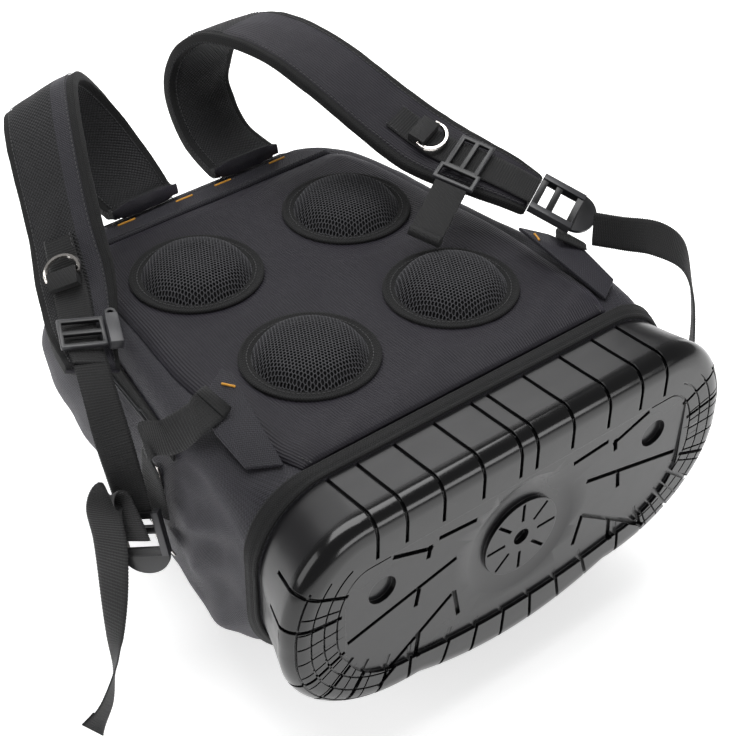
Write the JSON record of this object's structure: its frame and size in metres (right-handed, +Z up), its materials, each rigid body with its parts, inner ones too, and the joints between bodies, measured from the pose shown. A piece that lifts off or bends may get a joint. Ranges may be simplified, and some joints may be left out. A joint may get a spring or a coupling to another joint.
{
  "type": "tool backpack",
  "caption": "Black fabric tool backpack with a moulded foot, padded shoulder straps, mesh back pads, D-rings, buckles and a side tape clip, lying on its front.",
  "frame": {"origin": "bottom centre of the bounding box, on the surface the bag lies on", "axes": "+X across the bag's back towards the strap with the arched loop, +Y from the moulded foot to the top, +Z up, out of the back panel"},
  "size_m": [0.5108, 0.4606, 0.3377],
  "materials": {
    "fabric": "fine woven polyester, matte with a slight purple cast",
    "tape": "ribbed black webbing and binding tape, matte",
    "mesh": "black spacer mesh over foam",
    "moulding": "black moulding, semi-gloss with a polished edge",
    "buckle": "dark grey nylon, satin",
    "chrome": "bright plated steel"
  },
  "bodies": {
    "pack": {"base_tray": "moulding", "bag_shell": "fabric", "base_binding": "tape", "front_pocket": "fabric", "back_panel": "fabric", "top_band": "fabric", "main_zip": "tape", "mesh_pad_top_left": "mesh", "mesh_pad_top_right": "mesh", "mesh_pad_low_left": "mesh", "mesh_pad_low_right": "mesh", "shoulder_pad_left": "fabric", "shoulder_pad_right": "fabric", "strap_webbing_left": "tape", "strap_webbing_right": "tape", "ring_keeper_left": "tape", "ring_keeper_right": "tape", "chest_slider_right": "buckle", "chest_webbing": "tape", "chest_slider_left": "buckle", "chest_hook": "buckle", "strap_drop_left": "tape", "ladder_lock_left": "buckle", "ladder_lock_right": "buckle", "lower_webbing_left": "tape", "lower_webbing_right": "tape", "free_end_left": "tape", "free_end_right": "tape", "wing_left": "fabric", "wing_right": "fabric", "tape_clip": "chrome", "clip_rivet": "chrome"},
    "d_ring_left": {"d_ring_left": "chrome"},
    "d_ring_right": {"d_ring_right": "chrome"}
  },
  "joints": [
    {"name": "d_ring_left_swing", "type": "hinge", "parent": "pack", "child": "d_ring_left", "pos_m": [-0.13714, 0.07588, 0.25617], "axis": [0.749, -0.5409, 0.3826], "range_deg": [0, 130]},
    {"name": "d_ring_right_swing", "type": "hinge", "parent": "pack", "child": "d_ring_right", "pos_m": [0.14136, 0.01832, 0.29344], "axis": [-0.9341, -0.2944, -0.2018], "range_deg": [0, 130]}
  ]
}
